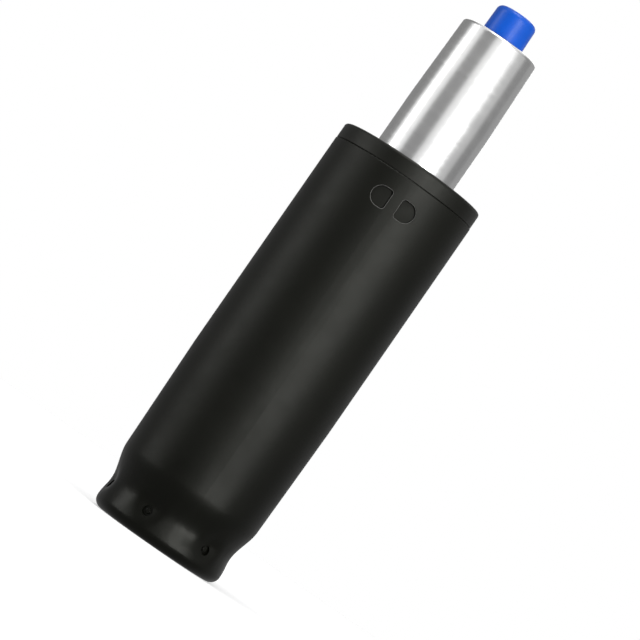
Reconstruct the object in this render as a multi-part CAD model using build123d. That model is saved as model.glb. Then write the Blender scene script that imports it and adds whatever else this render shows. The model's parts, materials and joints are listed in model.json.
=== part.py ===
"""Chair gas lift cylinder, lowered, standing upright on its foot.

The frame has its origin at the centre of the foot, +Z up along the lift's axis and -Y to the front,
where the snap windows face. Lengths are in millimetres.

A black steel stand tube carries a moulded guide bush at its top and a base plate in its staked foot.
A piston rod stands on a thrust bearing on the base plate. The bright pressure tube slides on the
piston at the rod's top and in the guide bush, and holds the valve that the blue button opens.
"""

import os
from math import cos, hypot, pi, radians, sin

from build123d import *

# Fits between pieces
running_clearance = 0.06
seat_clearance = 0.05
turning_gap = 0.1
soft_clearance = 0.3
overrun = 1.0

# Stand tube
tube_diameter = 50.0
tube_wall = 1.75
tube_height = 134.7
tube_top_round = 0.4

# Taper that seats in the chair base, then the neck and the bulge of the foot.
# A drop is how far the wall is drawn in from the tube's own radius.
taper_start_height = 58.0
taper_end_height = 21.5
taper_end_drop = 0.65
waist_height = 9.6
waist_drop = 2.9
bulge_height = 3.5
bulge_drop = 2.35
rim_round = 3.2
rim_land = 0.3
rim_lip_width = 5.2

# Stakes punched into the foot to hold the base plate
stake_count = 6
stake_turn = 38.0
stake_height = 9.5
stake_width = 12.0
stake_depth = 0.95
pit_height = 8.0
pit_diameter = 3.3
pit_depth = 0.7
pit_nub_diameter = 1.7
pit_nub_height = 0.45
foot_rows = 12
foot_span_steps = 10

# Snap windows near the top of the stand tube, in pairs at the front and the back
window_drop = 9.0
window_width = 5.8
window_height = 6.6
window_corner = 1.1
window_bow_share = 0.58
window_bridge = 3.6
window_edge_chamfer = 0.2

# Guide bush
collar_inset = 0.12
collar_height = 5.3
collar_round = 1.0
collar_foot_chamfer = 0.12
collar_mouth_chamfer = 0.7
bush_length = 64.0
bush_sleeve_wall = 2.2
bush_land_length = 16.0
bush_relief = 0.4
bush_ring_height = 3.0
bush_corner_round = 0.8
bush_skirt_wall = 1.9
bush_skirt_length = 23.0
bush_rib_thickness = 1.6
bush_rib_pitch = 30.0
tongue_margin = 0.7
tongue_slot = 1.0
tongue_length = 20.0
lug_inset = 0.5
lug_clearance = 0.2
lug_settling = 0.12

# Base plate
plate_thickness = 4.0
plate_edge_chamfer = 1.2
plate_recess_gap = 1.0
plate_recess_depth = 1.4
plate_ring_wall = 1.5
plate_ring_height = 1.5

# Thrust bearing
bearing_diameter = 22.0
bearing_height = 9.0
bearing_edge_chamfer = 0.4
ball_diameter = 4.5
ball_count = 8
ball_play = 0.02
race_gap = 2.6
race_bore_play = 0.4
cage_thickness = 1.4
cage_edge_inset = 0.5

# Piston rod
rod_diameter = 10.0
rod_spindle_diameter = 8.0
rod_end_land = 0.8
rod_end_chamfer = 0.5
clip_groove_depth = 0.8
clip_thickness = 0.9
clip_width = 3.2
clip_mouth_angle = 50.0
retaining_washer_diameter = 17.0
retaining_washer_thickness = 0.8
thrust_washer_diameter = 20.0
thrust_washer_thickness = 1.5
rod_stud_diameter = 6.0
rod_stud_chamfer = 0.5

# Rubber buffer on the rod, under the pressure tube
buffer_diameter = 23.0
buffer_height = 8.0
buffer_round = 1.6
buffer_waist_depth = 1.4

# Piston
piston_thickness = 10.0
piston_edge_chamfer = 0.5
piston_nut_across_flats = 10.0
piston_nut_thickness = 5.0
piston_washer_diameter = 14.0
piston_washer_thickness = 1.2

# Pressure tube
pressure_diameter = 28.0
pressure_wall = 1.5
pressure_showing = 47.5
pressure_cone_length = 28.0
pressure_cone_drop = 0.65
pressure_top_round = 1.2
pressure_foot_round = 1.4
pressure_foot_bore_gap = 1.5
stroke = 65.0
full_rise_gap = 0.5

# Inner tube, in which the piston runs
inner_tube_gap = 1.75
inner_tube_wall = 1.0

# Closure at the foot of the pressure tube
end_washer_thickness = 1.5
rod_seal_thickness = 5.0
rod_seal_lip_height = 1.2
rod_seal_groove_depth = 2.0
rod_guide_thickness = 10.0
rod_guide_spigot_length = 3.0
rod_guide_channel_width = 2.4
rod_guide_channel_count = 6
rod_guide_ring_height = 4.0

# Seal rings, of square section with eased edges
seal_section = 2.0
seal_edge_chamfer = 0.4
seal_gap = 0.02

# Valve in the head of the pressure tube
valve_body_length = 23.0
valve_spigot_length = 7.0
valve_bore_diameter = 7.2
valve_chamber_diameter = 10.0
valve_chamber_length = 4.0
valve_port_diameter = 2.0
valve_port_count = 4
pin_seal_section = 1.6
pin_seal_land = 1.6
head_ring_neck_wall = 1.08

# Release pin and button
pin_waist_diameter = 4.6
pin_stem_diameter = 5.0
pin_head_diameter = 10.4
pin_head_thickness = 1.6
button_top_diameter = 13.9
button_base_diameter = 14.5
button_showing = 10.0
button_depth = 3.8
button_top_round = 2.0
button_base_chamfer = 0.3
button_roof = 3.2
button_travel = 3.0
button_side_gap = 0.12

# Heights and radii that follow from the sizes above
tube_radius = tube_diameter / 2
tube_bore_radius = tube_radius - tube_wall
collar_radius = tube_radius - collar_inset
rim_bore_radius = tube_radius - bulge_drop - rim_lip_width
rod_radius = rod_diameter / 2
spindle_radius = rod_spindle_diameter / 2
stud_radius = rod_stud_diameter / 2
rim_height = rim_round + rim_land
stake_reach = stake_height - rim_height
collar_top = tube_height + collar_height
bearing_radius = bearing_diameter / 2

plate_bottom = tube_wall
plate_top = plate_bottom + plate_thickness
bearing_top = plate_top + bearing_height
ball_height = plate_top + bearing_height / 2
rod_shoulder = bearing_top + thrust_washer_thickness
buffer_top = rod_shoulder + buffer_height

pressure_radius = pressure_diameter / 2
pressure_bore_radius = pressure_radius - pressure_wall
pressure_foot = buffer_top + soft_clearance
pressure_top = collar_top + pressure_showing
pressure_cone_start = pressure_top - pressure_cone_length
pressure_cone_top_radius = pressure_radius - pressure_cone_drop
pressure_head_bore_radius = pressure_cone_top_radius - pressure_wall

end_washer_bottom = pressure_foot + pressure_wall
rod_seal_bottom = end_washer_bottom + end_washer_thickness
rod_guide_bottom = rod_seal_bottom + rod_seal_thickness
inner_tube_bottom = rod_guide_bottom + rod_guide_thickness
spigot_top = inner_tube_bottom + rod_guide_spigot_length
inner_tube_radius = pressure_bore_radius - inner_tube_gap
inner_bore_radius = inner_tube_radius - inner_tube_wall

piston_bottom = spigot_top + stroke + full_rise_gap
piston_top = piston_bottom + piston_thickness
nut_bottom = piston_top + piston_washer_thickness
stud_top = nut_bottom + piston_nut_thickness + rod_stud_chamfer

button_bottom = pressure_top - button_depth
button_well_radius = button_base_diameter / 2 + button_side_gap
pressure_top_bore_radius = button_well_radius + head_ring_neck_wall + seat_clearance
button_well_bottom = button_bottom - button_travel - turning_gap
valve_top = button_well_bottom
valve_bottom = valve_top - valve_body_length
inner_tube_top = valve_bottom + valve_spigot_length
valve_bore_radius = valve_bore_diameter / 2
chamber_bottom = valve_bottom + valve_body_length / 2 - valve_chamber_length / 2
chamber_top = chamber_bottom + valve_chamber_length
pin_radius = valve_bore_radius - running_clearance


def turned(*corners):
    """A solid of revolution about Z. Each corner of its half section is (radius, height, rounding)."""
    points = [(corner[0], 0, corner[1]) for corner in corners]
    rounds = [corner[2] if len(corner) > 2 else 0 for corner in corners]
    return revolve(make_face(FilletPolyline(*points, radius=rounds, close=True)), Axis.Z)


def eased_ring(inner, outer, bottom, top, ease):
    """A plain ring whose four edges are chamfered by ease."""
    return turned(
        (inner + ease, bottom),
        (outer - ease, bottom),
        (outer, bottom + ease),
        (outer, top - ease),
        (outer - ease, top),
        (inner + ease, top),
        (inner, top - ease),
        (inner, bottom + ease),
    )


def disc(radius, bottom, top):
    """A plain round cutter or blank on the axis."""
    return Pos(0, 0, bottom) * Cylinder(radius, top - bottom, align=(Align.CENTER, Align.CENTER, Align.MIN))


def ring(inner, outer, bottom, top):
    """A plain ring with square edges."""
    return disc(outer, bottom, top) - disc(inner, bottom - overrun, top + overrun)


def around(piece, count, start=0):
    """Copies of a piece that faces -Y, spread evenly round the axis from the turn start, in degrees."""
    return [Rot(0, 0, start + step * 360 / count) * piece for step in range(count)]


def facing_front(radius, height):
    """A place on the front of the lift whose local Z points inwards, along +Y."""
    return Pos(0, -radius, height) * Rot(-90, 0, 0)


# Stand tube: taper, necked foot and stakes
def eased_step(start, end, share):
    """A smooth step from start to end as share runs from 0 to 1."""
    return start + (end - start) * (1 - cos(pi * share)) / 2


def foot_radius(height):
    """Outer radius of the neck and bulge before staking."""
    taper_end, waist, bulge = tube_radius - taper_end_drop, tube_radius - waist_drop, tube_radius - bulge_drop
    if height >= waist_height:
        return eased_step(waist, taper_end, (height - waist_height) / (taper_end_height - waist_height))
    if height >= bulge_height:
        return eased_step(bulge, waist, (height - bulge_height) / (waist_height - bulge_height))
    return bulge


def staked_in(height, turn=0):
    """How far a stake has pushed the wall in, at a height and at a turn away from the stake."""
    across = radians(turn) * (tube_radius - waist_drop) / (stake_width / 2)
    along = (height - stake_height) / stake_reach
    off = min(hypot(across, along), 1)
    return stake_depth * cos(pi * off / 2) ** 2


def foot_span(height, inset, start):
    """A sixth of the foot's outline at a height, across one stake, from a start angle."""
    span = 360 / stake_count
    if abs(height - stake_height) >= stake_reach:
        return Pos(0, 0, height) * CenterArc((0, 0), foot_radius(height) - inset, start, span)
    points = []
    for step in range(foot_span_steps + 1):
        turn = span * (step / foot_span_steps - 1 / 2)
        radius = foot_radius(height) - inset - staked_in(height, turn)
        points.append(Vector(radius, 0, height).rotate(Axis.Z, start + span / 2 + turn))
    ends = [Vector(0, 1, 0).rotate(Axis.Z, start), Vector(0, 1, 0).rotate(Axis.Z, start + span)]
    return Spline(*points, tangents=ends)


def foot_blank(inset):
    """The necked and staked foot as a solid, from the top of its rim to the end of the taper."""
    starts = [360 * each / stake_count for each in range(stake_count)]
    sections = []
    for row in range(foot_rows + 1):
        height = rim_height + (taper_end_height - rim_height) * row / foot_rows
        sections.append(make_face([foot_span(height, inset, start) for start in starts]))
    return loft(sections)


def tube_blank(inset, bottom, top):
    """The stand tube's outer form, or the form of its bore where inset is the wall."""
    rim_radius = foot_radius(rim_height) - inset
    corner = max(rim_round - inset, 0)
    rim = turned((0, bottom), (rim_radius, bottom, corner), (rim_radius, rim_height), (0, rim_height))
    barrel = turned(
        (0, taper_end_height),
        (foot_radius(taper_end_height) - inset, taper_end_height),
        (tube_radius - inset, taper_start_height),
        (tube_radius - inset, top),
        (0, top),
    )
    return foot_blank(inset).fuse(barrel, rim)


def window_outline(clearance):
    """The pair of D-shaped windows, as an upright outline, each side moved in by a clearance."""
    inner = window_bridge / 2 + clearance
    outer = window_bridge / 2 + window_width - clearance
    half = window_height / 2 - clearance
    shoulder = outer - window_width * window_bow_share
    straight = Polyline((shoulder, half), (inner, half), (inner, -half), (shoulder, -half))
    bow = ThreePointArc((shoulder, -half), (outer, 0), (shoulder, half))
    right = make_face(straight + bow)
    right = fillet(right.vertices().group_by(Axis.X)[0], window_corner)
    return Sketch() + [right, mirror(right, Plane.YZ)]


def window_prisms(clearance, settling=0):
    """Both pairs of windows as prisms through the wall, at the front and the back.

    Lugs settle to the low left side of their play in the windows.
    """
    near, far = tube_bore_radius / 2, tube_radius + overrun
    place = (-settling, -near, tube_height - window_drop - settling)
    outline = Plane(origin=place, x_dir=(1, 0, 0), z_dir=(0, -1, 0))
    return around(extrude(outline * window_outline(clearance), far - near), 2)


def window_edges(tube):
    """The windows' edges on the outside of the tube."""
    middle = tube_height - window_drop
    level = tube.edges().filter_by_position(Axis.Z, middle - window_height, middle + window_height)
    return [edge for edge in level if hypot((edge @ 0.5).X, (edge @ 0.5).Y) > tube_radius - tube_wall / 2]


def stake_pit():
    """A punched pit at the front, with the nub that the punch leaves at its centre."""
    face = foot_radius(pit_height) - staked_in(pit_height)
    place = facing_front(face, pit_height)
    pit = Cylinder(pit_diameter / 2, pit_depth + overrun, align=(Align.CENTER, Align.CENTER, Align.MIN))
    nub = Cylinder(pit_nub_diameter / 2, pit_nub_height, align=(Align.CENTER, Align.CENTER, Align.MAX))
    nub = fillet(nub.faces().sort_by(Axis.Z)[0].edges(), pit_nub_height / 2)
    return place * (Pos(0, 0, -overrun) * pit - Pos(0, 0, pit_depth) * nub)


def stand_tube():
    """The blanks have a stake half a span from +X, and the stakes' own turn is from the front."""
    blank_turn = stake_turn - 90 - 180 / stake_count
    tube = tube_blank(0, 0, tube_height) - tube_blank(tube_wall, tube_wall, tube_height + overrun)
    tube = Rot(0, 0, blank_turn) * tube - disc(rim_bore_radius, -overrun, tube_wall + overrun)
    tube = tube.cut(*window_prisms(0))
    tube = chamfer(window_edges(tube), window_edge_chamfer)
    tube = tube.cut(*around(stake_pit(), stake_count, stake_turn))
    top_edge = tube.edges().filter_by(GeomType.CIRCLE).group_by(Axis.Z)[-1].sort_by(SortBy.RADIUS)[-1]
    return fillet(top_edge, tube_top_round)


def bush_rib(turn, inner, outer, bottom, top):
    """An upright rib of the guide bush, at a turn from the front."""
    rib = Box(bush_rib_thickness, outer - inner, top - bottom, align=(Align.CENTER, Align.MAX, Align.MIN))
    return Rot(0, 0, turn) * Pos(0, -inner, bottom) * rib


def guide_bush():
    bore = pressure_radius + running_clearance
    sleeve = bore + bush_sleeve_wall
    outer = tube_bore_radius - seat_clearance
    bottom = tube_height - bush_length
    relief = bore + bush_relief
    relief_low, relief_high = bottom + bush_land_length, collar_top - bush_land_length
    bush = turned(
        (bore, bottom),
        (outer, bottom),
        (outer, bottom + bush_ring_height),
        (sleeve, bottom + bush_ring_height, bush_corner_round),
        (sleeve, tube_height),
        (collar_radius - collar_foot_chamfer, tube_height),
        (collar_radius, tube_height + collar_foot_chamfer),
        (collar_radius, collar_top, collar_round),
        (bore + collar_mouth_chamfer, collar_top),
        (bore, collar_top - collar_mouth_chamfer),
        (bore, relief_high + bush_relief),
        (relief, relief_high),
        (relief, relief_low),
        (bore, relief_low - bush_relief),
    )
    skirt_bottom = tube_height - bush_skirt_length
    skirt_inner = outer - bush_skirt_wall
    skirt = ring(skirt_inner, outer, skirt_bottom, tube_height)
    tongue_edge = window_bridge / 2 + window_width + tongue_margin
    for side in (-1, 1):
        slot = Box(tongue_slot, outer * 2, tongue_length, align=(Align.CENTER, Align.CENTER, Align.MIN))
        skirt -= Pos(side * (tongue_edge + tongue_slot / 2), 0, skirt_bottom) * slot
    bush += skirt
    rib_reach = outer - bush_skirt_wall / 2
    for step in range(int(360 / bush_rib_pitch)):
        turn = step * bush_rib_pitch
        if abs(sin(radians(turn))) * rib_reach > tongue_edge:
            bush += bush_rib(turn, sleeve - bush_sleeve_wall / 2, rib_reach, bottom, tube_height)
    lugs = ring(rib_reach, tube_radius - lug_inset, skirt_bottom, tube_height)
    for prism in window_prisms(lug_clearance, lug_settling):
        bush += prism & lugs
    return bush


def plate_radius():
    """The base plate fits under the stakes, in the bore of the foot."""
    shoulder = plate_top - plate_edge_chamfer
    return foot_radius(shoulder) - tube_wall - staked_in(shoulder) - seat_clearance


def base_plate():
    """The lower edge clears the rounding inside the rim, and a ring on top centres the bearing."""
    ring_inner = bearing_radius + seat_clearance
    recess = retaining_washer_diameter / 2 + plate_recess_gap
    foot_chamfer = max(rim_round - tube_wall, plate_edge_chamfer)
    edge = plate_radius()
    return turned(
        (spindle_radius + turning_gap, plate_bottom + plate_recess_depth),
        (recess, plate_bottom + plate_recess_depth),
        (recess, plate_bottom),
        (edge - foot_chamfer, plate_bottom),
        (edge, plate_bottom + foot_chamfer),
        (edge, plate_top - plate_edge_chamfer),
        (edge - plate_edge_chamfer, plate_top),
        (ring_inner + plate_ring_wall, plate_top),
        (ring_inner + plate_ring_wall, plate_top + plate_ring_height),
        (ring_inner, plate_top + plate_ring_height),
        (ring_inner, plate_top),
        (spindle_radius + turning_gap, plate_top),
    )


# Thrust bearing
def ball_pitch_radius():
    return (bearing_radius + spindle_radius) / 2


def bearing_race(bore, bottom, top):
    """A race washer with its ball track on the side that faces the balls."""
    track = Pos(0, 0, ball_height) * Torus(ball_pitch_radius(), ball_diameter / 2 + ball_play)
    return eased_ring(bore, bearing_radius, bottom, top, bearing_edge_chamfer) - track


def bearing_lower_race():
    return bearing_race(spindle_radius + race_bore_play, plate_top, ball_height - race_gap / 2)


def bearing_upper_race():
    return bearing_race(spindle_radius + seat_clearance, ball_height + race_gap / 2, bearing_top)


def at_balls(piece):
    """Copies of a piece, one at the centre of each ball."""
    return around(Pos(0, -ball_pitch_radius(), ball_height) * piece, ball_count)


def bearing_balls():
    return at_balls(Sphere(ball_diameter / 2))


def bearing_cage():
    half = cage_thickness / 2
    inner, outer = spindle_radius + race_bore_play + cage_edge_inset, bearing_radius - cage_edge_inset
    pocket = Cylinder(ball_diameter / 2 + turning_gap, cage_thickness + overrun)
    return ring(inner, outer, ball_height - half, ball_height + half).cut(*at_balls(pocket))


# Piston rod and what is fixed to it
def retaining_washer_bottom():
    return plate_bottom + plate_recess_depth - turning_gap - retaining_washer_thickness


def clip_heights():
    top = retaining_washer_bottom() - seat_clearance
    return top - clip_thickness, top


def clip_groove_radius():
    return spindle_radius - clip_groove_depth


def piston_rod():
    clip_bottom, clip_top = clip_heights()
    groove_bottom, groove_top = clip_bottom - seat_clearance, clip_top + seat_clearance
    groove = clip_groove_radius()
    end = groove_bottom - rod_end_land
    return turned(
        (0, end),
        (spindle_radius - rod_end_chamfer, end),
        (spindle_radius, end + rod_end_chamfer),
        (spindle_radius, groove_bottom),
        (groove, groove_bottom),
        (groove, groove_top),
        (spindle_radius, groove_top),
        (spindle_radius, rod_shoulder),
        (rod_radius, rod_shoulder),
        (rod_radius, piston_bottom),
        (stud_radius, piston_bottom),
        (stud_radius, stud_top - rod_stud_chamfer),
        (stud_radius - rod_stud_chamfer, stud_top),
        (0, stud_top),
    )


def retaining_washer():
    bottom = retaining_washer_bottom()
    bore = spindle_radius + seat_clearance
    return ring(bore, retaining_washer_diameter / 2, bottom, bottom + retaining_washer_thickness)


def retaining_clip():
    """An open ring that snaps into the groove of the rod from the side."""
    bottom, top = clip_heights()
    bore = clip_groove_radius() + seat_clearance
    outer = bore + clip_width
    mouth_width = 2 * bore * sin(radians(clip_mouth_angle))
    height = top - bottom + overrun
    mouth = Box(mouth_width, outer + overrun, height, align=(Align.CENTER, Align.MAX, Align.CENTER))
    return ring(bore, outer, bottom, top) - Pos(0, 0, (bottom + top) / 2) * mouth


def thrust_washer():
    bore = spindle_radius + seat_clearance
    return ring(bore, thrust_washer_diameter / 2, bearing_top, bearing_top + thrust_washer_thickness)


def stop_buffer():
    bore, outer = rod_radius + seat_clearance, buffer_diameter / 2
    middle, waist = (rod_shoulder + buffer_top) / 2, outer - buffer_waist_depth
    return turned(
        (bore, rod_shoulder),
        (outer, rod_shoulder, buffer_round),
        (outer, middle - buffer_waist_depth),
        (waist, middle, buffer_round),
        (outer, middle + buffer_waist_depth),
        (outer, buffer_top, buffer_round),
        (bore, buffer_top),
    )


def groove_floor(wall):
    """The radius of a seal groove's floor, for a ring that bears on a wall outside it."""
    return wall - 2 * seal_gap - seal_section


def ring_in_groove(wall, middle):
    """A seal ring that bears on the wall outside its groove."""
    outer, half = wall - seal_gap, seal_section / 2
    return eased_ring(outer - seal_section, outer, middle - half, middle + half, seal_edge_chamfer)


def grooved_edge(edge, wall, middle):
    """The corners of an outer edge with a seal groove in it, from the bottom up."""
    floor, half = groove_floor(wall), seal_section / 2 + seat_clearance
    return (edge, middle - half), (floor, middle - half), (floor, middle + half), (edge, middle + half)


def piston():
    edge = inner_bore_radius - running_clearance
    return turned(
        (stud_radius + seat_clearance, piston_bottom),
        (edge - piston_edge_chamfer, piston_bottom),
        (edge, piston_bottom + piston_edge_chamfer),
        *grooved_edge(edge, inner_bore_radius, piston_bottom + piston_thickness / 2),
        (edge, piston_top - piston_edge_chamfer),
        (edge - piston_edge_chamfer, piston_top),
        (stud_radius + seat_clearance, piston_top),
    )


def piston_seal():
    return ring_in_groove(inner_bore_radius, piston_bottom + piston_thickness / 2)


def piston_washer():
    return ring(stud_radius + seat_clearance, piston_washer_diameter / 2, piston_top, nut_bottom)


def piston_nut():
    top = nut_bottom + piston_nut_thickness
    outline = RegularPolygon(piston_nut_across_flats / 2, 6, major_radius=False)
    nut = Pos(0, 0, nut_bottom) * extrude(outline, piston_nut_thickness)
    return nut - disc(stud_radius + seat_clearance, nut_bottom - overrun, top + overrun)


# Pressure tube and what is fixed in it
def pressure_tube():
    """Both ends are rolled in, over the head ring at the top and the end washer at the foot."""
    foot_bore = rod_radius + pressure_foot_bore_gap
    return turned(
        (foot_bore, pressure_foot),
        (pressure_radius, pressure_foot, pressure_foot_round),
        (pressure_radius, pressure_cone_start),
        (pressure_cone_top_radius, pressure_top, pressure_top_round),
        (pressure_top_bore_radius, pressure_top),
        (pressure_top_bore_radius, pressure_top - pressure_wall),
        (pressure_head_bore_radius, pressure_top - pressure_wall),
        (pressure_bore_radius, pressure_cone_start),
        (pressure_bore_radius, end_washer_bottom),
        (foot_bore, end_washer_bottom),
    )


def inner_tube():
    return ring(inner_bore_radius, inner_tube_radius, inner_tube_bottom, inner_tube_top)


def end_washer():
    outer = pressure_bore_radius - seat_clearance
    return ring(rod_radius + turning_gap, outer, end_washer_bottom, rod_seal_bottom)


def rod_seal():
    """A lip seal: its groove faces the gas, so that pressure spreads the lip on to the rod."""
    bore, outer = rod_radius + seal_gap, pressure_bore_radius - seal_gap
    middle, top = (bore + outer) / 2, rod_guide_bottom
    groove = rod_seal_groove_depth / 2
    return turned(
        (bore, rod_seal_bottom),
        (outer, rod_seal_bottom),
        (outer, top),
        (middle + groove, top),
        (middle, top - rod_seal_groove_depth),
        (middle - groove, top - rod_seal_lip_height / 2),
        (bore, top - rod_seal_lip_height),
    )


def rod_guide():
    bore, outer = rod_radius + running_clearance, pressure_bore_radius - seat_clearance
    spigot = inner_bore_radius - seat_clearance
    guide = turned(
        (bore, rod_guide_bottom),
        (outer, rod_guide_bottom),
        *grooved_edge(outer, pressure_bore_radius, rod_guide_bottom + rod_guide_ring_height),
        (outer, inner_tube_bottom),
        (spigot, inner_tube_bottom),
        (spigot, spigot_top),
        (bore, spigot_top),
    )
    floor = rod_guide_bottom + rod_guide_ring_height + seal_section
    channel = Box(
        rod_guide_channel_width,
        overrun + outer - spigot + inner_tube_wall,
        spigot_top - floor + overrun,
        align=(Align.CENTER, Align.MIN, Align.MIN),
    )
    return guide.cut(*around(Pos(0, -outer - overrun, floor) * channel, rod_guide_channel_count))


def rod_guide_ring():
    return ring_in_groove(pressure_bore_radius, rod_guide_bottom + rod_guide_ring_height)


def spigot_ring_height():
    return valve_bottom + valve_spigot_length / 2


def head_ring_height():
    return (chamber_top + valve_top) / 2


def head_ring_wall():
    """The tapering bore of the pressure tube where the upper valve ring bears on it."""
    climb = head_ring_height() + seal_section / 2 - pressure_cone_start
    return pressure_bore_radius - pressure_cone_drop * climb / (pressure_cone_length - pressure_wall)


def pin_seal_heights():
    """The pin's seals sit below and above the chamber that the ports open into."""
    away = pin_seal_land + pin_seal_section / 2
    return chamber_bottom - away, chamber_top + away


def valve_body():
    spigot = inner_bore_radius - seat_clearance
    outer = pressure_head_bore_radius - seat_clearance
    body = turned(
        (valve_bore_radius, valve_bottom),
        (spigot, valve_bottom),
        *grooved_edge(spigot, inner_bore_radius, spigot_ring_height()),
        (spigot, inner_tube_top),
        (outer, inner_tube_top),
        *grooved_edge(outer, head_ring_wall(), head_ring_height()),
        (outer, valve_top),
        (valve_bore_radius, valve_top),
    )
    body -= disc(valve_chamber_diameter / 2, chamber_bottom, chamber_top)
    port = Cylinder(valve_port_diameter / 2, outer + overrun, align=(Align.CENTER, Align.CENTER, Align.MIN))
    port = Pos(0, 0, (chamber_bottom + chamber_top) / 2) * Rot(90, 0, 0) * port
    body = body.cut(*around(port, valve_port_count))
    for middle in pin_seal_heights():
        half = pin_seal_section / 2 + seat_clearance
        body -= disc(valve_bore_radius + pin_seal_section, middle - half, middle + half)
    return body


def valve_rings():
    return [
        ring_in_groove(inner_bore_radius, spigot_ring_height()),
        ring_in_groove(head_ring_wall(), head_ring_height()),
    ]


def pin_seals():
    bore, outer = pin_radius + seal_gap, valve_bore_radius + pin_seal_section - seal_gap
    half, ease = pin_seal_section / 2, seal_edge_chamfer / 2
    return [eased_ring(bore, outer, middle - half, middle + half, ease) for middle in pin_seal_heights()]


def head_ring():
    """The ring that the rolled lip holds down on the valve, with the well that the button moves in."""
    well, neck = button_well_radius, button_well_radius + head_ring_neck_wall
    shoulder = pressure_top - pressure_wall
    outer = pressure_head_bore_radius - seat_clearance
    return turned(
        (well, valve_top),
        (outer, valve_top),
        (outer, shoulder),
        (neck, shoulder),
        (neck, pressure_top),
        (well, pressure_top),
    )


# Release pin and button
def release_pin():
    waist, stem = pin_waist_diameter / 2, pin_stem_diameter / 2
    head_top = valve_bottom - turning_gap
    stem_top = pressure_top + button_showing - button_roof
    return turned(
        (0, head_top - pin_head_thickness),
        (pin_head_diameter / 2, head_top - pin_head_thickness),
        (pin_head_diameter / 2, head_top),
        (pin_radius, head_top),
        (pin_radius, chamber_bottom - pin_seal_land / 2),
        (waist, chamber_bottom),
        (waist, chamber_top - button_travel / 2),
        (pin_radius, chamber_top),
        (pin_radius, valve_top - button_travel / 2),
        (stem, valve_top),
        (stem, stem_top),
        (0, stem_top),
    )


def release_button():
    top = pressure_top + button_showing
    stem = pin_stem_diameter / 2 + seat_clearance
    button = turned(
        (0, button_bottom),
        (button_base_diameter / 2 - button_base_chamfer, button_bottom),
        (button_base_diameter / 2, button_bottom + button_base_chamfer),
        (button_top_diameter / 2, top, button_top_round),
        (0, top),
    )
    return button - disc(stem, button_bottom - overrun, top - button_roof + seat_clearance)


sub_parts = {
    "stand_tube": stand_tube,
    "guide_bush": guide_bush,
    "base_plate": base_plate,
    "bearing_lower_race": bearing_lower_race,
    "bearing_balls": bearing_balls,
    "bearing_cage": bearing_cage,
    "bearing_upper_race": bearing_upper_race,
    "thrust_washer": thrust_washer,
    "stop_buffer": stop_buffer,
    "piston_rod": piston_rod,
    "retaining_washer": retaining_washer,
    "retaining_clip": retaining_clip,
    "piston": piston,
    "piston_seal": piston_seal,
    "piston_washer": piston_washer,
    "piston_nut": piston_nut,
    "pressure_tube": pressure_tube,
    "inner_tube": inner_tube,
    "end_washer": end_washer,
    "rod_seal": rod_seal,
    "rod_guide": rod_guide,
    "rod_guide_ring": rod_guide_ring,
    "valve_body": valve_body,
    "valve_rings": valve_rings,
    "pin_seals": pin_seals,
    "head_ring": head_ring,
    "release_pin": release_pin,
    "release_button": release_button,
}

os.makedirs("parts", exist_ok=True)
for node, make in sub_parts.items():
    made = make()
    if isinstance(made, list):
        made = Compound(children=made)
    export_step(made, f"parts/{node}.step")
    print(node, len(made.solids()), "solids", round(made.volume, 1), "mm3")
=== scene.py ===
"""Looks for the chair gas lift cylinder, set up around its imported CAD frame.

The lift stands upright on a white floor, lowered, and the camera is rolled so that it leans in
the picture as it does in the photograph. Lengths are in metres and angles in degrees unless a
name says more.
"""

import json
from math import cos, pi, radians, sin

import bpy
from mathutils import Matrix, Vector

# Camera, fitted to the silhouette in the photograph
EYE_AZIMUTH = -2.8
EYE_DISTANCE = 1.1694
EYE_HEIGHT = 0.0377
EYE_YAW = 0.146
EYE_PITCH = 2.341
EYE_ROLL = -34.722
FOCAL_PIXELS = 3816.3
PICTURE_PIXELS = 640
SENSOR_MM = 36.0
CAMERA_REACH = 100.0

# Most of a noise's values lie between these
NOISE_LOW = 0.3
NOISE_HIGH = 0.7

# Each surface's darker and lighter colour, which cloud into each other
COAT_COLOURS = ((0.0012, 0.0014, 0.0006), (0.0022, 0.0024, 0.0012))
PLASTIC_COLOURS = ((0.0015, 0.0017, 0.0009), (0.0028, 0.003, 0.0018))
PLATING_COLOURS = ((0.7, 0.7, 0.7), (0.78, 0.78, 0.775))
BUTTON_COLOURS = ((0.0003, 0.077, 0.48), (0.0008, 0.085, 0.54))
RUBBER_COLOURS = ((0.012, 0.012, 0.012), (0.03, 0.03, 0.03))

# Each surface's least and most roughness
COAT_ROUGHNESS = (0.42, 0.47)
PLASTIC_ROUGHNESS = (0.41, 0.48)
PLATING_ROUGHNESS = (0.2, 0.27)
BUTTON_ROUGHNESS = (0.27, 0.32)
RUBBER_ROUGHNESS = (0.6, 0.75)

# How strongly each surface shines, as a refractive index
COAT_IOR = 1.3
PLASTIC_IOR = 1.33
BUTTON_IOR = 1.39
RUBBER_IOR = 1.5

# The faint colour of the gloss on the black pieces
OLIVE = (0.988, 1.0, 0.93, 1.0)

# Where the eased edges of the snap windows lie on the stand tube, and the lighter colour painted on them
# as a highlight
WINDOW_LOW = 0.1218
WINDOW_HIGH = 0.1296
EDGE_RADII = (0.02489, 0.02495)
EDGE_DEPTH_RADIUS = 0.02475
EDGE_HIGHLIGHT_COLOUR = (0.19, 0.19, 0.18)
LEAST_EDGE_HIGHLIGHT_SHARE = 0.5

# The windows' cut walls and the lugs in them are rougher than the rest
WALL_ROUGHENING = 0.45
LUG_ROUGHENING = 0.24
LUG_RADIUS = 0.0246
LUG_FACE_RADIUS = 0.02443

# The rolled foot is smoother than the rest of the tube, and that fades out between two heights
FOOT_SMOOTHING = 0.13
FOOT_FADE = (0.012, 0.035)

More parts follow.
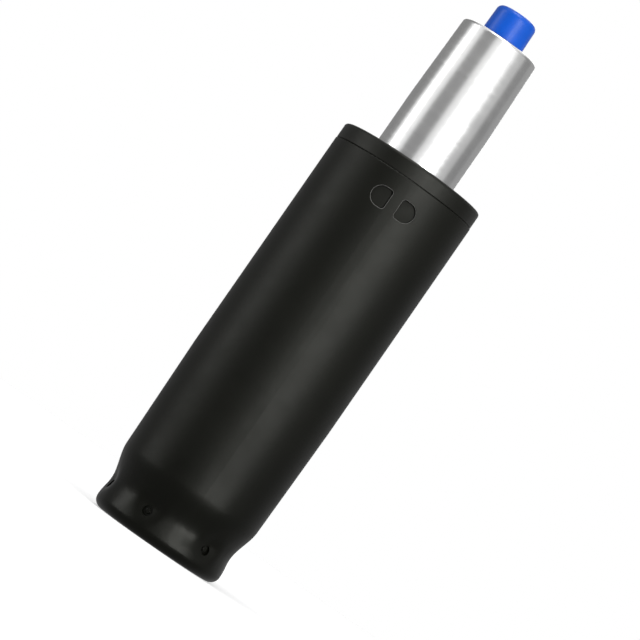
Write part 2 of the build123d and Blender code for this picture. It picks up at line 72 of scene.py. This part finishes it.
# Turned and ground metals: darker and lighter colour, least and most roughness, fineness of the lines
METALS = {
    "plain_steel": ((0.42, 0.42, 0.43), (0.55, 0.55, 0.56), 0.28, 0.4, 5000),
    "bearing_steel": ((0.58, 0.58, 0.59), (0.66, 0.66, 0.67), 0.12, 0.2, 9000),
    "chromed_rod": ((0.73, 0.73, 0.74), (0.78, 0.78, 0.79), 0.06, 0.11, 12000),
    "cage_brass": ((0.6, 0.42, 0.17), (0.75, 0.55, 0.25), 0.25, 0.36, 5000),
    "cast_aluminium": ((0.6, 0.61, 0.62), (0.72, 0.73, 0.74), 0.3, 0.42, 3500),
}

# How coarse the metals' lines are along themselves, and how fine they are on flat faces
ALONG_LINES = 60
FACE_LINES_SHARE = 0.25

# The colour sockets of a Mix node, which share their names with others
MIX_FIRST = 6
MIX_SECOND = 7
MIX_RESULT = 2

# Studio
WHITE = (1.0, 1.0, 1.0, 1.0)
AMBIENT = 0.4
FLOOR_RADIUS = 0.8
FLOOR_SIDES = 96
FLOOR_COLOUR = (0.8, 0.8, 0.8, 1.0)
FLOOR_GLOW = 0.5
AIM_HEIGHT = 0.1

# Softboxes: name, azimuth, distance, height, width, length, brightness. The floor hides much of
# the key and left ones from the foot, and the low ones stand just high enough to show in it
SOFTBOXES = (
    ("key softbox", 26.5, 1.5, -0.3, 1.08, 0.9, 10.5),
    ("low softbox", 44, 1.5, -0.01, 0.6, 0.12, 11.0),
    ("upper softbox", 20.5, 1.5, 0.595, 0.68, 0.89, 3.4),
    ("left softbox", -86, 1.4, -0.2, 0.46, 0.9, 2.9),
    ("low left softbox", -71, 1.4, -0.01, 0.35, 0.12, 6.0),
    ("upper left softbox", -86, 1.4, 0.6, 0.38, 0.7, 1.7),
    ("top softbox", -20, 0.4, 1.6, 0.8, 0.6, 6.0),
)

# Curved cards, which only reflections show: name, start and end azimuth, brightness
CARDS = (
    ("left card", -58, -18, 0.33),
    ("right card", 54, 84, 0.6),
    ("side card", 84, 116, 0.3),
    ("right back card", 116, 164, 0.4),
    ("back card", 164, 188, 2.2),
    ("left back card", 188, 256, 0.28),
)
CARD_DISTANCE = 1.3
CARD_LOW = -0.9
CARD_HIGH = 1.6
CARD_STEP = 4.0

# A dark card that lies on the floor round the foot and keeps its white out of the reflections
LOW_CARD_HEIGHT = 0.0002
LOW_CARD_INNER = 0.0205
LOW_CARD_BRIGHTNESS = 0.3


# Node helpers
class Shader:
    """A node material that is built from short calls."""

    def __init__(self, name):
        self.material = bpy.data.materials.new(name)
        self.material.use_nodes = True
        self.nodes = self.material.node_tree.nodes
        self.links = self.material.node_tree.links
        self.nodes.clear()
        self.output = self.nodes.new("ShaderNodeOutputMaterial")
        self.object_coords = None

    def add(self, kind, **values):
        """A node of a kind, with its settings and its input sockets filled in by name."""
        node = self.nodes.new(kind)
        for name, value in values.items():
            if name in node.bl_rna.properties:
                setattr(node, name, value)
                continue
            self.feed(node.inputs[name.replace("_", " ")], value)
        return node

    def feed(self, socket, value):
        """Links a socket to an input, or sets the input to a value."""
        if isinstance(value, bpy.types.NodeSocket):
            self.links.new(value, socket)
        else:
            socket.default_value = value

    def coords(self):
        """The place in metres in the piece's own frame."""
        if self.object_coords is None:
            self.object_coords = self.add("ShaderNodeTexCoord").outputs["Object"]
        return self.object_coords

    def place(self):
        """The distance from the lift's axis and the height."""
        axes = self.add("ShaderNodeSeparateXYZ", Vector=self.coords()).outputs
        flat = self.add("ShaderNodeCombineXYZ", X=axes["X"], Y=axes["Y"])
        length = self.add("ShaderNodeVectorMath", operation="LENGTH")
        self.feed(length.inputs[0], flat.outputs["Vector"])
        return length.outputs["Value"], axes["Z"]

    def noise(self, scale=1.0, detail=2.0, rough=0.5, stretch=None):
        """Noise of a fineness, the same along each axis or stretched by axis."""
        vector = self.coords()
        if stretch:
            vector = self.add("ShaderNodeMapping", Vector=vector, Scale=stretch).outputs["Vector"]
        node = self.add("ShaderNodeTexNoise", Vector=vector, Scale=scale, Detail=detail, Roughness=rough)
        return node.outputs["Fac"]

    def spread(self, value, low, high, start=NOISE_LOW, end=NOISE_HIGH):
        """Maps a value between start and end to low and high."""
        node = self.add(
            "ShaderNodeMapRange", Value=value, From_Min=start, From_Max=end, To_Min=low, To_Max=high
        )
        return node.outputs["Result"]

    def math(self, operation, first, second):
        """The result of a sum or a comparison."""
        node = self.add("ShaderNodeMath", operation=operation)
        self.feed(node.inputs[0], first)
        self.feed(node.inputs[1], second)
        return node.outputs["Value"]

    def tint(self, share, first, second):
        """A colour between two, by a share. Each is a colour or a socket."""
        node = self.add("ShaderNodeMix", data_type="RGBA")
        self.feed(node.inputs[0], share)
        for index, colour in ((MIX_FIRST, first), (MIX_SECOND, second)):
            self.feed(node.inputs[index], (*colour, 1.0) if isinstance(colour, tuple) else colour)
        return node.outputs[MIX_RESULT]

    def cloud(self, colours, **settings):
        """Clouds of a darker and a lighter colour, with the settings of their noise."""
        return self.tint(self.spread(self.noise(**settings), 0, 1), *colours)

    def bump(self, height, distance, strength, under=None):
        """A surface direction, raised by a height, on top of another bump if there is one."""
        node = self.add("ShaderNodeBump", Height=height, Distance=distance, Strength=strength)
        if under is not None:
            self.feed(node.inputs["Normal"], under)
        return node.outputs["Normal"]

    def close(self, shader):
        """Joins a shader to the material's surface."""
        self.links.new(shader, self.output.inputs["Surface"])
        return self.material

    def finish(self, **values):
        """Closes the material with a Principled surface."""
        return self.close(self.add("ShaderNodeBsdfPrincipled", **values).outputs["BSDF"])


# Materials
def black_coated_steel():
    """Satin black powder coat: a faint orange peel under a finer grain, with a highlight painted on the
    window edges.
    """
    look = Shader("black coated steel")
    radius, height = look.place()
    windows = at_windows(look, height)
    normal = look.bump(look.noise(scale=900, detail=1), distance=0.00002, strength=0.5)
    normal = look.bump(look.noise(scale=5200), distance=0.000006, strength=0.6, under=normal)
    colour = look.cloud(COAT_COLOURS, scale=45, detail=3)
    # Painted highlight: a lighter colour on the windows' eased edges, made patchy by a noise
    edge_highlight_strength = look.spread(look.noise(scale=2500), LEAST_EDGE_HIGHLIGHT_SHARE, 1)
    painted_edge_highlight = look.math("MULTIPLY", look.math("MULTIPLY", eased_edges(look, radius), windows), edge_highlight_strength)
    colour = look.tint(painted_edge_highlight, colour, EDGE_HIGHLIGHT_COLOUR)
    rough = look.spread(look.noise(scale=160, detail=3), *COAT_ROUGHNESS)
    rough = look.math("SUBTRACT", rough, look.spread(height, FOOT_SMOOTHING, 0, *FOOT_FADE))
    walls = look.math("MULTIPLY", windows, look.math("LESS_THAN", radius, EDGE_DEPTH_RADIUS))
    rough = look.math("ADD", rough, look.math("MULTIPLY", walls, WALL_ROUGHENING))
    return look.finish(
        Base_Color=colour, Roughness=rough, Normal=normal, IOR=COAT_IOR, Specular_Tint=OLIVE
    )


def at_windows(look, height):
    """One between the lowest and highest points of the snap windows."""
    above = look.math("GREATER_THAN", height, WINDOW_LOW)
    return look.math("MULTIPLY", above, look.math("LESS_THAN", height, WINDOW_HIGH))


def eased_edges(look, radius):
    """One where the tube's eased edges lie, a little inside its outer wall."""
    under = look.spread(radius, 1, 0, *EDGE_RADII)
    return look.math("MULTIPLY", under, look.math("GREATER_THAN", radius, EDGE_DEPTH_RADIUS))


def black_plastic():
    """Moulded nylon with a fine spark-eroded grain, rougher on the lugs."""
    look = Shader("black plastic")
    radius, height = look.place()
    normal = look.bump(look.noise(scale=3600, detail=3, rough=0.6), distance=0.000012, strength=0.7)
    colour = look.cloud(PLASTIC_COLOURS, scale=80, detail=3)
    lugs = look.math("MULTIPLY", at_windows(look, height), look.math("LESS_THAN", radius, LUG_RADIUS))
    inside = look.math("LESS_THAN", radius, LUG_FACE_RADIUS)
    more = look.spread(inside, LUG_ROUGHENING, WALL_ROUGHENING, 0, 1)
    rough = look.spread(look.noise(scale=300), *PLASTIC_ROUGHNESS)
    rough = look.math("ADD", rough, look.math("MULTIPLY", lugs, more))
    return look.finish(
        Base_Color=colour, Roughness=rough, Normal=normal, IOR=PLASTIC_IOR, Specular_Tint=OLIVE
    )


def satin_plated_tube():
    """Satin plated steel with faint rings left by grinding."""
    look = Shader("satin plated tube")
    rings = look.noise(rough=0.6, stretch=(30, 30, 6000))
    normal = look.bump(rings, distance=0.000004, strength=0.5)
    rough = look.spread(look.noise(stretch=(12, 12, 700)), *PLATING_ROUGHNESS)
    colour = look.cloud(PLATING_COLOURS, detail=3, stretch=(40, 40, 90))
    return look.finish(Base_Color=colour, Metallic=1.0, Roughness=rough, Normal=normal)


def blue_plastic():
    """Semi-gloss moulded plastic."""
    look = Shader("blue plastic")
    normal = look.bump(look.noise(scale=1400), distance=0.00001, strength=0.5)
    colour = look.cloud(BUTTON_COLOURS, scale=150, detail=3)
    rough = look.spread(look.noise(scale=400), *BUTTON_ROUGHNESS)
    return look.finish(Base_Color=colour, Roughness=rough, Normal=normal, IOR=BUTTON_IOR)


def turned_metal(name, dark, light, smooth, rough, fineness):
    """Turned or ground metal whose tool lines run round the axis."""
    look = Shader(name)
    across = fineness * FACE_LINES_SHARE
    lines = look.noise(rough=0.6, stretch=(ALONG_LINES, ALONG_LINES, fineness))
    faces = look.noise(rough=0.6, stretch=(across, across, ALONG_LINES))
    normal = look.bump(lines, distance=0.000008, strength=0.4)
    normal = look.bump(faces, distance=0.000004, strength=0.25, under=normal)
    colour = look.cloud((dark, light), scale=220, detail=4)
    rough = look.spread(look.noise(scale=500, detail=3), smooth, rough)
    return look.finish(Base_Color=colour, Metallic=1.0, Roughness=rough, Normal=normal)


def black_rubber():
    """Moulded rubber with a slight bloom."""
    look = Shader("black rubber")
    normal = look.bump(look.noise(scale=2200, detail=4, rough=0.6), distance=0.00003, strength=0.6)
    bloom = look.spread(look.noise(scale=260, detail=4), 0, 1, start=0.45, end=0.75)
    colour = look.tint(bloom, *RUBBER_COLOURS)
    rough = look.spread(look.noise(scale=700), *RUBBER_ROUGHNESS)
    return look.finish(Base_Color=colour, Roughness=rough, Normal=normal, IOR=RUBBER_IOR)


def finishes():
    """Each of the record's material slots with its material."""
    made = {
        "black_coated_steel": black_coated_steel(),
        "black_plastic": black_plastic(),
        "satin_plated_tube": satin_plated_tube(),
        "blue_plastic": blue_plastic(),
        "black_rubber": black_rubber(),
    }
    for slot, values in METALS.items():
        made[slot] = turned_metal(slot.replace("_", " "), *values)
    return made


# Studio
def around(azimuth, distance, height):
    """A place by its turn from the front, anticlockwise seen from above."""
    turn = radians(azimuth)
    return Vector((distance * sin(turn), -distance * cos(turn), height))


def mesh_object(name, vertices, faces, material):
    """A mesh of the studio's own, with one material."""
    mesh = bpy.data.meshes.new(name)
    mesh.from_pydata(vertices, [], faces)
    mesh.update()
    mesh.materials.append(material)
    made = bpy.data.objects.new(name, mesh)
    bpy.context.scene.collection.objects.link(made)
    return made


def seen_rays(nodes, links):
    """One for the rays that show the background: the camera's, and those of gloss and glass."""
    path = nodes.new("ShaderNodeLightPath")
    seen = path.outputs["Is Camera Ray"]
    for name in ("Is Glossy Ray", "Is Transmission Ray"):
        highest = nodes.new("ShaderNodeMath")
        highest.operation = "MAXIMUM"
        links.new(seen, highest.inputs[0])
        links.new(path.outputs[name], highest.inputs[1])
        seen = highest.outputs[0]
    return seen


def white_floor():
    """A round white table that keeps the lift's shadow and otherwise shows as white as the background."""
    look = Shader("white floor")
    matte = look.add("ShaderNodeBsdfDiffuse", Color=FLOOR_COLOUR)
    glow_strength = look.math("MULTIPLY", seen_rays(look.nodes, look.links), FLOOR_GLOW)
    light = look.add("ShaderNodeEmission", Color=WHITE, Strength=glow_strength)
    both = look.add("ShaderNodeAddShader")
    look.feed(both.inputs[0], matte.outputs["BSDF"])
    look.feed(both.inputs[1], light.outputs["Emission"])
    rim = [around(360 * step / FLOOR_SIDES, FLOOR_RADIUS, 0) for step in range(FLOOR_SIDES)]
    face = tuple(range(FLOOR_SIDES))
    floor = mesh_object("floor", rim, [face], look.close(both.outputs["Shader"]))


def white_world():
    """White to the camera, to gloss and through glass, and a plain level of light on the rest."""
    world = bpy.data.worlds.new("studio")
    bpy.context.scene.world = world
    world.use_nodes = True
    nodes, links = world.node_tree.nodes, world.node_tree.links
    nodes.clear()
    output = nodes.new("ShaderNodeOutputWorld")
    back = nodes.new("ShaderNodeBackground")
    back.inputs["Color"].default_value = WHITE
    level = nodes.new("ShaderNodeMapRange")
    level.inputs["To Min"].default_value = AMBIENT
    level.inputs["To Max"].default_value = 1.0
    links.new(seen_rays(nodes, links), level.inputs["Value"])
    links.new(level.outputs["Result"], back.inputs["Strength"])
    links.new(back.outputs["Background"], output.inputs["Surface"])


def softbox(name, azimuth, distance, height, width, length, brightness):
    """An area lamp that faces the lift's middle. Its brightness is that of its face, and 1 is white."""
    data = bpy.data.lights.new(name, "AREA")
    data.shape = "RECTANGLE"
    data.size = width
    data.size_y = length
    data.energy = brightness * pi * width * length
    lamp = bpy.data.objects.new(name, data)
    bpy.context.scene.collection.objects.link(lamp)
    lamp.location = around(azimuth, distance, height)
    aim = Vector((0, 0, AIM_HEIGHT)) - lamp.location
    lamp.rotation_euler = aim.to_track_quat("-Z", "Y").to_euler()


def card(name, start, end, brightness):
    """A curved card beside the lift."""
    steps = round((end - start) / CARD_STEP)
    vertices = []
    for step in range(steps + 1):
        azimuth = start + (end - start) * step / steps
        for height in (CARD_LOW, CARD_HIGH):
            vertices.append(around(azimuth, CARD_DISTANCE, height))
    faces = [(2 * step, 2 * step + 2, 2 * step + 3, 2 * step + 1) for step in range(steps)]
    reflected_only(name, vertices, faces, brightness)


def low_card():
    """A flat ring just above the floor."""
    vertices, faces = [], []
    for step in range(FLOOR_SIDES):
        azimuth = 360 * step / FLOOR_SIDES
        for radius in (LOW_CARD_INNER, FLOOR_RADIUS):
            vertices.append(around(azimuth, radius, LOW_CARD_HEIGHT))
        near, far = 2 * step, 2 * ((step + 1) % FLOOR_SIDES)
        faces.append((near, far, far + 1, near + 1))
    reflected_only("low card", vertices, faces, LOW_CARD_BRIGHTNESS)


def reflected_only(name, vertices, faces, brightness):
    """A glowing card that neither the camera nor matte surfaces see."""
    look = Shader(name)
    light = look.add("ShaderNodeEmission", Color=WHITE, Strength=brightness)
    made = mesh_object(name, vertices, faces, look.close(light.outputs["Emission"]))
    made.visible_camera = False
    made.visible_diffuse = False
    made.visible_shadow = False


def camera():
    """Stands before the foot, looks a little up and leans to one side."""
    start = radians(EYE_AZIMUTH)
    yaw, pitch, roll = radians(EYE_YAW), radians(EYE_PITCH), radians(EYE_ROLL)
    up = Vector((0, 0, 1))
    ahead = Vector((-sin(start), cos(start), 0))
    right = Vector((cos(start), sin(start), 0))
    turned_ahead = ahead * cos(yaw) + right * sin(yaw)
    turned_right = right * cos(yaw) - ahead * sin(yaw)
    view = turned_ahead * cos(pitch) + up * sin(pitch)
    lifted = up * cos(pitch) - turned_ahead * sin(pitch)
    side = turned_right * cos(roll) - lifted * sin(roll)
    top = turned_right * sin(roll) + lifted * cos(roll)
    data = bpy.data.cameras.new("camera")
    data.sensor_fit = "HORIZONTAL"
    data.sensor_width = SENSOR_MM
    data.lens = FOCAL_PIXELS / PICTURE_PIXELS * SENSOR_MM
    data.clip_end = CAMERA_REACH
    eye = bpy.data.objects.new("camera", data)
    bpy.context.scene.collection.objects.link(eye)
    place = Matrix((side, top, -view)).transposed().to_4x4()
    place.translation = around(EYE_AZIMUTH, EYE_DISTANCE, EYE_HEIGHT)
    eye.matrix_world = place
    bpy.context.scene.camera = eye


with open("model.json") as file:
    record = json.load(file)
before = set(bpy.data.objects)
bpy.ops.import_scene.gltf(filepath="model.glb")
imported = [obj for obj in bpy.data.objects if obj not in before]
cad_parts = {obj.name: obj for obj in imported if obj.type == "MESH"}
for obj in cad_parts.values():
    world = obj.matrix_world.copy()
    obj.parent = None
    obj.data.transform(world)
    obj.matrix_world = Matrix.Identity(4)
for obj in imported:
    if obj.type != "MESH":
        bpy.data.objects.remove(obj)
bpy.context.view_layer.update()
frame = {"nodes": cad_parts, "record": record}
bpy.context.scene.view_settings.view_transform = "Standard"

materials = finishes()
for row in frame["record"]["subparts"]:
    piece = frame["nodes"][row["node"]]
    piece.data.materials.clear()
    piece.data.materials.append(materials[row["material_slot"]])

camera()
white_world()
white_floor()
for values in SOFTBOXES:
    softbox(*values)
for values in CARDS:
    card(*values)
low_card()
